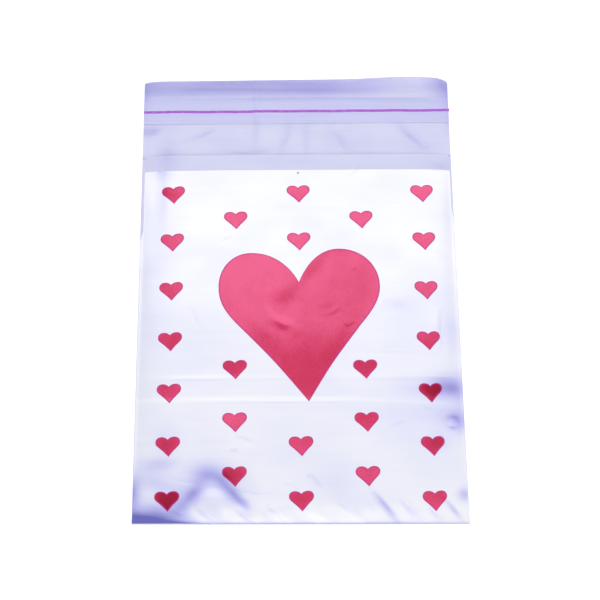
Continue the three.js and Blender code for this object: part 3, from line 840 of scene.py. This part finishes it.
class Finish:
    """A Principled material, with helpers that add the nodes of its patterns."""

    def __init__(self, name, **values):
        """Starts a material, with the given values on the sockets of its shader."""
        self.material = bpy.data.materials.new(name)
        self.material.use_nodes = True
        self.tree = self.material.node_tree
        self.shader = self.tree.nodes["Principled BSDF"]
        for socket, value in values.items():
            self.shader.inputs[socket.replace("_", " ")].default_value = value
        self.place = self.add("ShaderNodeTexCoord").outputs["Object"]

    def add(self, kind, links=(), values=(), **settings):
        """A node of a kind, with its settings, the values of its sockets, and their links."""
        node = self.tree.nodes.new(kind)
        for name, value in settings.items():
            setattr(node, name, value)
        for socket, value in dict(values).items():
            node.inputs[socket].default_value = value
        for socket, source in dict(links).items():
            self.tree.links.new(source, node.inputs[socket])
        return node

    def feed(self, socket, source):
        """Links a source to a socket of the shader."""
        self.tree.links.new(source, self.shader.inputs[socket])

    def noise(self, scale, stretch=(1, 1, 1), detail=2.0, roughness=0.5):
        """A noise pattern of so many waves a metre, made finer along each axis by the stretch."""
        mapping = self.add("ShaderNodeMapping", {"Vector": self.place}, {"Scale": stretch})
        noise = self.add("ShaderNodeTexNoise", {"Vector": mapping.outputs["Vector"]},
                         {"Scale": scale, "Detail": detail, "Roughness": roughness})
        return noise.outputs["Fac"]

    def mark(self, name):
        """The number that each point of the piece holds under that name."""
        return self.add("ShaderNodeAttribute", attribute_name=name).outputs["Fac"]

    def ranged(self, value, span, result):
        """A value taken smoothly from its span to the result's range, and held within it."""
        ends = {"From Min": span[0], "From Max": span[1], "To Min": result[0], "To Max": result[1]}
        node = self.add("ShaderNodeMapRange", {"Value": value}, ends,
                        interpolation_type="SMOOTHSTEP")
        return node.outputs["Result"]

    def combined(self, operation, a, b):
        """Two values added or multiplied, and held within 0 and 1."""
        node = self.add("ShaderNodeMath", {0: a, 1: b}, operation=operation, use_clamp=True)
        return node.outputs["Value"]

    def depth(self, *patterns):
        """How deep the colour is: the painted shade of the piece, where it has turned from the light,
        and what each tone pattern adds over its span, from nothing to its most."""
        depth = self.mark("painted_shade")
        for pattern, span, most in patterns:
            depth = self.combined("ADD", depth, self.ranged(pattern, span, (0.0, most)))
        return depth

    def ramp(self, value, *stops):
        """A colour that runs through the given stops of place and sRGB bytes."""
        node = self.add("ShaderNodeValToRGB", {"Fac": value})
        elements = node.color_ramp.elements
        while len(elements) < len(stops):
            elements.new(0.5)
        for element, (place, colour) in zip(elements, stops):
            element.position = place
            element.color = linear(*colour)
        return node.outputs["Color"]

    def towards(self, colour, share, plain):
        """A colour taken by a share towards a plain one, given by its sRGB bytes."""
        node = self.add("ShaderNodeMix", {"Factor": share, 6: colour}, {7: linear(*plain)},
                        data_type="RGBA")
        return node.outputs[2]

    def rough(self, pattern, low, high):
        """Roughness from low to high, over the middle of a noise pattern's range."""
        self.feed("Roughness", self.ranged(pattern, (0.3, 0.7), (low, high)))

    def bump(self, pattern, strength, height):
        """Fine relief, of the given height in metres where the pattern runs from 0 to 1."""
        bump = self.add("ShaderNodeBump", {"Height": pattern},
                        {"Strength": strength, "Distance": height})
        self.feed("Normal", bump.outputs["Normal"])


def film_finish():
    """Clear polypropylene film with a lavender cast: faintly cloudy, with drawn lines across, and
    with painted shade that deepens it where it has turned from the light. The front wall is denser,
    as it lies over the other wall, and its colour is painted paler to offset the shade between the
    two walls."""
    finish = Finish("clear_film", Coat_Weight=0.2, Coat_Roughness=0.1, IOR=1.5)
    cloudy = finish.noise(34, stretch=(1, 2.2, 1))
    drawn = finish.noise(60, stretch=(0.5, 14, 1))
    depth = finish.depth((cloudy, (0.25, 0.8), 0.13), (drawn, (0.3, 0.75), 0.04))
    body = finish.ramp(
        depth, (0.0, (219, 220, 250)), (0.45, (178, 178, 240)), (1.0, (124, 122, 216)),
    )
    # The front wall's colour is painted paler, to offset the shade between the two walls
    doubled = finish.mark("doubled")
    paler = finish.ranged(doubled, (0.0, 1.0), (0.0, 0.5))
    finish.feed("Base Color", finish.towards(body, paler, (228, 229, 255)))
    walls = (BACK_WALL_ALPHA, FRONT_WALL_ALPHA)
    finish.feed("Alpha", finish.ranged(doubled, (0.0, 1.0), walls))
    finish.rough(cloudy, 0.29, 0.36)
    fine = finish.noise(700, stretch=(0.35, 1, 1), detail=1)
    finish.bump(finish.combined("MULTIPLY", drawn, fine), strength=0.4, height=0.0001)
    return finish.material


def white_finish():
    """White pearly print: near white where it lies flat, with violet painted shade where it has
    turned from the light and painted highlights where it shines, with faint clouds of lavender and
    faint drawn lines."""
    finish = Finish("pearl_white_print", Metallic=0.12, Coat_Weight=0.6, Coat_Roughness=0.1, IOR=1.5)
    cloudy = finish.noise(26, stretch=(1, 1.7, 1))
    drawn = finish.noise(44, stretch=(0.4, 9, 1))
    depth = finish.depth((cloudy, (0.3, 0.85), 0.12), (drawn, (0.3, 0.8), 0.022))
    finish.feed("Base Color", finish.ramp(
        depth, (0.0, (243, 244, 251)), (0.3, (217, 218, 247)), (0.65, (177, 176, 236)),
        (1.0, (92, 93, 182)),
    ))
    finish.rough(cloudy, 0.29, 0.37)
    finish.bump(finish.noise(420, stretch=(0.5, 1, 1), detail=1), strength=0.3, height=0.00008)
    return finish.material


def red_finish():
    """Red ink on the pearly white: a little mottled, with painted shade that deepens it where it has
    turned from the light, and a thin violet pink rim."""
    finish = Finish("pearl_red_print", Coat_Weight=0.06, Coat_Roughness=0.15, Specular_IOR_Level=0.12)
    mottle = finish.noise(110)
    grain = finish.noise(1500)
    depth = finish.depth((mottle, (0.25, 0.8), 0.07), (grain, (0.3, 0.7), 0.06))
    body = finish.ramp(
        depth, (0.0, (245, 103, 149)), (0.3, (212, 58, 99)), (0.65, (163, 22, 58)),
        (1.0, (146, 12, 50)),
    )
    near_rim = finish.ranged(finish.mark("rim"), (0.0, 1.1), (0.9, 0.0))
    finish.feed("Base Color", finish.towards(body, near_rim, (196, 66, 146)))
    finish.rough(mottle, 0.3, 0.42)
    finish.bump(grain, strength=0.3, height=0.00006)
    return finish.material


def grey_finish():
    """Grey ink of the dot."""
    finish = Finish("grey_print", IOR=1.5)
    grain = finish.noise(2500)
    finish.feed("Base Color", finish.ramp(grain, (0.3, (92, 94, 116)), (0.7, (120, 122, 144))))
    finish.rough(grain, 0.4, 0.6)
    return finish.material


def adhesive_finish():
    """Clear pressure-sensitive adhesive, slightly streaked across."""
    finish = Finish("adhesive", Alpha=0.8, IOR=1.48)
    streak = finish.noise(80, stretch=(0.3, 6, 1), detail=4, roughness=0.6)
    finish.feed("Base Color", finish.ramp(streak, (0.3, (216, 218, 255)), (0.7, (222, 223, 255))))
    finish.rough(streak, 0.35, 0.55)
    finish.bump(streak, strength=0.3, height=0.00005)
    return finish.material


def liner_finish():
    """Satin release film: translucent, with fine lines along its length, and painted shade that
    deepens it where it has turned from the light.
    """
    finish = Finish("release_film", Alpha=0.78, Coat_Weight=0.2, Coat_Roughness=0.15, IOR=1.5)
    drawn = finish.noise(90, stretch=(0.25, 8, 1))
    depth = finish.depth((drawn, (0.25, 0.75), 0.12))
    finish.feed("Base Color", finish.ramp(
        depth, (0.0, (217, 218, 255)), (0.5, (190, 191, 249)), (1.0, (140, 136, 224)),
    ))
    finish.rough(drawn, 0.29, 0.38)
    finish.bump(drawn, strength=0.4, height=0.00006)
    return finish.material


def magenta_finish():
    """Violet magenta ink of the line, a little uneven."""
    finish = Finish("magenta_print", IOR=1.5)
    uneven = finish.noise(420, stretch=(1, 3, 1), detail=4, roughness=0.6)
    finish.feed("Base Color", finish.ramp(
        uneven, (0.3, (150, 62, 190)), (0.55, (172, 88, 208)), (0.75, (196, 124, 220)),
    ))
    finish.rough(uneven, 0.3, 0.5)
    finish.bump(uneven, strength=0.3, height=0.00004)
    return finish.material


def seen_light(tree):
    """A socket that is 1 for what the camera sees itself, in a reflection or through something
    clear, and 0 for the light that falls on other things."""
    paths = tree.nodes.new("ShaderNodeLightPath").outputs
    seen = paths["Is Camera Ray"]
    for path in ("Is Glossy Ray", "Is Transmission Ray"):
        either = tree.nodes.new("ShaderNodeMath")
        either.operation = "MAXIMUM"
        tree.links.new(seen, either.inputs[0])
        tree.links.new(paths[path], either.inputs[1])
        seen = either.outputs["Value"]
    return seen


def floor_finish():
    """The pale floor: a matte surface that takes the bag's shadow, and a glow over it that makes
    it white where it is seen and lights nothing."""
    material = bpy.data.materials.new("floor")
    material.use_nodes = True
    tree = material.node_tree
    tree.nodes.clear()
    matte = tree.nodes.new("ShaderNodeBsdfDiffuse")
    matte.inputs["Color"].default_value = FLOOR_COLOUR
    amount = tree.nodes.new("ShaderNodeMath")
    amount.operation = "MULTIPLY"
    amount.inputs[1].default_value = FLOOR_GLOW
    glow = tree.nodes.new("ShaderNodeEmission")
    glow.inputs["Color"].default_value = WHITE
    both = tree.nodes.new("ShaderNodeAddShader")
    out = tree.nodes.new("ShaderNodeOutputMaterial")
    tree.links.new(seen_light(tree), amount.inputs[0])
    tree.links.new(amount.outputs["Value"], glow.inputs["Strength"])
    tree.links.new(matte.outputs["BSDF"], both.inputs[0])
    tree.links.new(glow.outputs["Emission"], both.inputs[1])
    tree.links.new(both.outputs["Shader"], out.inputs["Surface"])
    return material


def white_world():
    """An even world, white where it is seen, and dimmer in the light that it gives."""
    world = bpy.data.worlds.new("studio")
    world.use_nodes = True
    tree = world.node_tree
    tree.nodes.clear()
    strength = tree.nodes.new("ShaderNodeMapRange")
    strength.inputs["To Min"].default_value = WORLD_LEVEL
    strength.inputs["To Max"].default_value = 1.0
    background = tree.nodes.new("ShaderNodeBackground")
    background.inputs["Color"].default_value = WHITE
    out = tree.nodes.new("ShaderNodeOutputWorld")
    tree.links.new(seen_light(tree), strength.inputs["Value"])
    tree.links.new(strength.outputs["Result"], background.inputs["Strength"])
    tree.links.new(background.outputs["Background"], out.inputs["Surface"])
    return world


def soft_lamp(name, place, size, radiance, turn):
    """A soft rectangle of light of an even radiance, turned from pointing straight down."""
    data = bpy.data.lights.new(name, "AREA")
    data.shape = "RECTANGLE"
    data.size, data.size_y = size
    data.energy = radiance * math.pi * size[0] * size[1]
    lamp = bpy.data.objects.new(name, data)
    lamp.location = place
    lamp.rotation_euler = [math.radians(angle) for angle in turn]
    lamp.visible_camera = False
    bpy.context.scene.collection.objects.link(lamp)


def studio():
    """A pale floor, an even world, one wide soft panel beyond the flap, one low soft lamp further
    out, and a soft fill from the side of the bag's bottom."""
    signs = [(-1, -1), (1, -1), (1, 1), (-1, 1)]
    corners = [(x * FLOOR_HALF, y * FLOOR_HALF, FLOOR_LEVEL) for x, y in signs]
    mesh = bpy.data.meshes.new("floor")
    mesh.from_pydata(corners, [], [(0, 1, 2, 3)])
    floor = bpy.data.objects.new("floor", mesh)
    bpy.context.scene.collection.objects.link(floor)
    mesh.materials.append(floor_finish())
    bpy.context.scene.world = white_world()
    for name, values in LAMPS.items():
        soft_lamp(name, *values)


def camera():
    """The photograph's view, from above the lower half of the bag."""
    data = bpy.data.cameras.new("camera")
    data.lens, data.sensor_width = CAMERA_LENS, CAMERA_SENSOR
    data.clip_start, data.clip_end = CAMERA_NEAR, CAMERA_FAR
    seen = bpy.data.objects.new("camera", data)
    seen.location = CAMERA_PLACE
    seen.rotation_euler = [math.radians(angle) for angle in CAMERA_TURN]
    bpy.context.scene.collection.objects.link(seen)
    bpy.context.scene.camera = seen


def dress(piece, material, slot, *nodes):
    """Gives a piece its material and its body, and hides the nodes that it stands for. The slot is
    not used.
    """
    piece.data.materials.append(material)
    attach(piece, "root")
    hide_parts(*nodes)
    return piece


bpy.context.scene.view_settings.view_transform = "Standard"
camera()
bag = dress(film_bag(), film_finish(), "clear_film", "bag_film")
red = red_finish()
with_bag = [
    dress(white_print(), white_finish(), "white_print", "white_ground"),
    dress(large_heart(), red, "red_print", "large_heart"),
]
for node in sorted(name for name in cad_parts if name.startswith("small_heart_")):
    with_bag.append(dress(small_heart(node), red, "red_print", node))
with_bag += [
    dress(print_dot(), grey_finish(), "grey_print", "register_dot"),
    dress(strip("adhesive", **ADHESIVE), adhesive_finish(), "adhesive", "adhesive_strip"),
    dress(strip("release_film", **LINER), liner_finish(), "liner_film", "release_liner"),
    dress(strip("magenta_line", **LINE), magenta_finish(), "magenta_print", "liner_line"),
]
studio()
